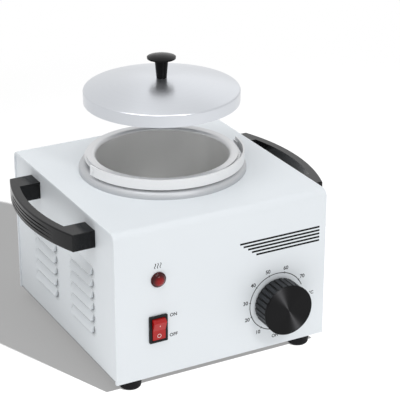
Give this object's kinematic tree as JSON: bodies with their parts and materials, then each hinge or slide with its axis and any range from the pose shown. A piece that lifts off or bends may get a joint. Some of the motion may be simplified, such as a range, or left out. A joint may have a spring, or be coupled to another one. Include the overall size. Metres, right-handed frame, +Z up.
{
  "type": "wax warmer pot",
  "caption": "Boxy white wax warmer with a lift-out metal pot in a heated well, a knobbed lid raised above it, side handles, a rocker switch, a pilot lamp and a temperature knob.",
  "frame": {"origin": "on the table under the middle of the object's bounding box", "axes": "+Z up, -Y towards the front panel, +X to the right of someone facing the front panel"},
  "size_m": [0.277, 0.2444, 0.2623],
  "materials": {
    "white_steel": "smooth white powder coat",
    "zinc_steel": "bright zinc plate",
    "collar_aluminium": "satin",
    "pot_aluminium": "matt spun",
    "lid_aluminium": "satin spun",
    "black_plastic": "fine moulded grain",
    "black_knob": "gloss",
    "black_anodised": "spun, black anodised",
    "foot_rubber": "matt",
    "red_plastic": "gloss",
    "heater_mica": "dull steel round mica",
    "insulation_fibre": "loose fibre",
    "thermostat_case": "moulded",
    "copper_tube": "drawn",
    "brass_blade": "bright",
    "brown_lead": "insulation sleeve",
    "blue_lead": "insulation sleeve",
    "earth_lead": "insulation sleeve"
  },
  "bodies": {
    "casing": {"housing_shell": "white_steel", "left_side_panel": "white_steel", "right_side_panel": "white_steel", "base_plate": "zinc_steel", "base_screws": "zinc_steel", "foot_screws": "zinc_steel", "foot_nuts": "zinc_steel", "handle_screws": "zinc_steel", "well_screws": "zinc_steel", "heater_clamp_screw": "zinc_steel", "heater_clamp_nut": "zinc_steel", "thermostat_screws": "zinc_steel", "bulb_clip": "zinc_steel", "fuse_clip": "zinc_steel", "inlet_screws": "zinc_steel", "earth_screw": "zinc_steel", "lamp_clip": "zinc_steel", "well_collar": "collar_aluminium", "heating_well": "pot_aluminium", "left_handle": "black_plastic", "right_handle": "black_plastic", "mains_inlet": "black_plastic", "switch_housing": "black_plastic", "lamp_body": "black_plastic", "front_left_foot": "foot_rubber", "front_right_foot": "foot_rubber", "rear_left_foot": "foot_rubber", "rear_right_foot": "foot_rubber", "lamp_lens": "red_plastic", "heater_band": "heater_mica", "insulation_wrap": "insulation_fibre", "thermostat_body": "thermostat_case", "thermostat_capillary": "copper_tube", "thermostat_bulb": "copper_tube", "switch_terminals": "brass_blade", "inlet_pins": "brass_blade", "thermal_fuse": "brass_blade", "live_wire": "brown_lead", "switched_wire": "brown_lead", "heater_wire": "brown_lead", "fuse_wire": "brown_lead", "neutral_wire": "blue_lead", "lamp_leads": "blue_lead", "earth_wire": "earth_lead"},
    "knob": {"control_knob": "black_knob", "knob_face_disc": "black_anodised", "thermostat_shaft": "zinc_steel"},
    "rocker": {"switch_rocker": "red_plastic"},
    "pot": {"wax_pot": "pot_aluminium", "left_pot_ear": "white_steel", "right_pot_ear": "white_steel", "bail_rivets": "white_steel"},
    "bail": {"pot_bail": "white_steel"},
    "lid": {"lid": "lid_aluminium", "lid_knob": "black_knob", "lid_screw": "zinc_steel", "lid_washer": "zinc_steel"}
  },
  "joints": [
    {"name": "knob_turn", "type": "hinge", "parent": "casing", "child": "knob", "pos_m": [0.0549, -0.10075, 0.0551], "axis": [0, 1, 0], "range_deg": [0, 265]},
    {"name": "rocker_tilt", "type": "hinge", "parent": "casing", "child": "rocker", "pos_m": [-0.0646, -0.09955, 0.0575], "axis": [-1, 0, 0], "range_deg": [0, 22]},
    {"name": "pot_lift", "type": "slide", "parent": "casing", "child": "pot", "axis": [0, 0, 1], "range_m": [0, 0.13]},
    {"name": "bail_swing", "type": "hinge", "parent": "pot", "child": "bail", "pos_m": [0, 0.00715, 0.1673], "axis": [-1, 0, 0], "range_deg": [0, 40]},
    {"name": "lid_lift", "type": "slide", "parent": "pot", "child": "lid", "axis": [0, 0, 1], "range_m": [-0.0515, 0.1]}
  ]
}
